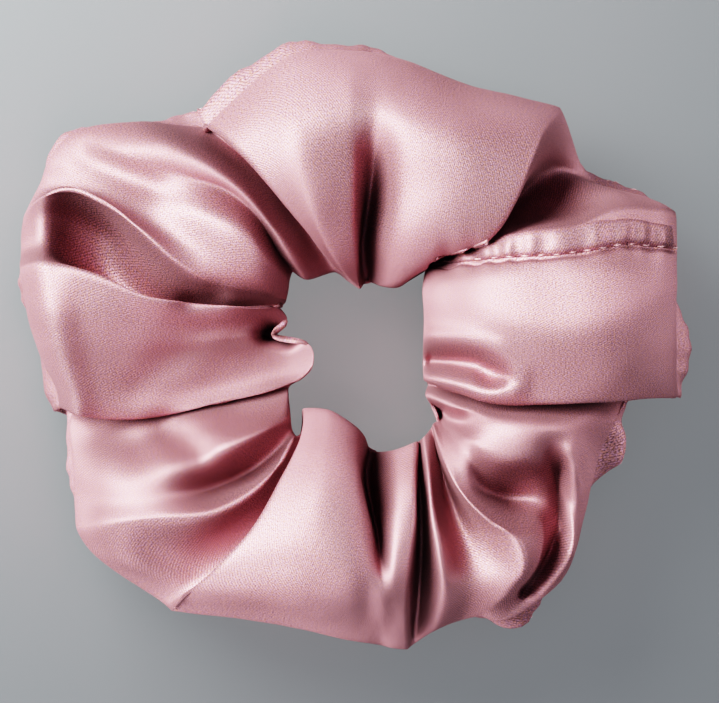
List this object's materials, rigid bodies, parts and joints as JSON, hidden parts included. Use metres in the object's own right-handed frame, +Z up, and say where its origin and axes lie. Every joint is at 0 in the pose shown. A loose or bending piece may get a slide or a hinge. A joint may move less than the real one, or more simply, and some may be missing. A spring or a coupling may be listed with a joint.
{
  "type": "scrunchie",
  "caption": "Gathered satin hair tie: a sewn fabric tube on a hidden elastic loop, which stretches open to go around a ponytail or wrist.",
  "frame": {"origin": "middle of the ring's outline, on the surface that it lies on", "axes": "+Z up out of the ring, +X across its longer side, along which it stretches open"},
  "size_m": [0.1152, 0.1044, 0.0381],
  "materials": {
    "satin": "glossy woven satin",
    "thread": "polyester sewing thread",
    "elastic": "braided elastic, matte"
  },
  "bodies": {
    "right": {"cover_right": "satin", "seam_stitches_right": "thread", "elastic_band": "elastic", "elastic_join_stitches": "thread"},
    "upper_right": {"cover_upper_right": "satin", "seam_stitches_upper_right": "thread", "closing_hem": "satin", "closing_stitches": "thread"},
    "top": {"cover_top": "satin", "seam_stitches_top": "thread"},
    "upper_left": {"cover_upper_left": "satin", "seam_stitches_upper_left": "thread"},
    "left": {"cover_left": "satin", "seam_stitches_left": "thread"},
    "lower_left": {"cover_lower_left": "satin", "seam_stitches_lower_left": "thread"},
    "bottom": {"cover_bottom": "satin", "seam_stitches_bottom": "thread"},
    "lower_right": {"cover_lower_right": "satin", "seam_stitches_lower_right": "thread"}
  },
  "joints": [
    {"name": "stretch", "type": "slide", "parent": "right", "child": "left", "axis": [-1, 0, 0], "range_m": [0, 0.08], "stiffness_N_per_m": 60, "deforming": ["elastic_band"]},
    {"name": "gather_upper_right", "type": "slide", "parent": "right", "child": "upper_right", "axis": [-1, 0, 0], "range_m": [0, 0.00968]},
    {"name": "gather_lower_right", "type": "slide", "parent": "right", "child": "lower_right", "axis": [-1, 0, 0], "range_m": [0, 0.00968]},
    {"name": "gather_top", "type": "slide", "parent": "right", "child": "top", "axis": [-1, 0, 0], "range_m": [0, 0.04]},
    {"name": "gather_bottom", "type": "slide", "parent": "right", "child": "bottom", "axis": [-1, 0, 0], "range_m": [0, 0.04]},
    {"name": "gather_upper_left", "type": "slide", "parent": "right", "child": "upper_left", "axis": [-1, 0, 0], "range_m": [0, 0.07032]},
    {"name": "gather_lower_left", "type": "slide", "parent": "right", "child": "lower_left", "axis": [-1, 0, 0], "range_m": [0, 0.07032]}
  ],
  "couplings": [
    {"joint": "gather_upper_right", "follows": "stretch", "ratio": 0.121},
    {"joint": "gather_lower_right", "follows": "stretch", "ratio": 0.121},
    {"joint": "gather_top", "follows": "stretch", "ratio": 0.5},
    {"joint": "gather_bottom", "follows": "stretch", "ratio": 0.5},
    {"joint": "gather_upper_left", "follows": "stretch", "ratio": 0.879},
    {"joint": "gather_lower_left", "follows": "stretch", "ratio": 0.879}
  ]
}
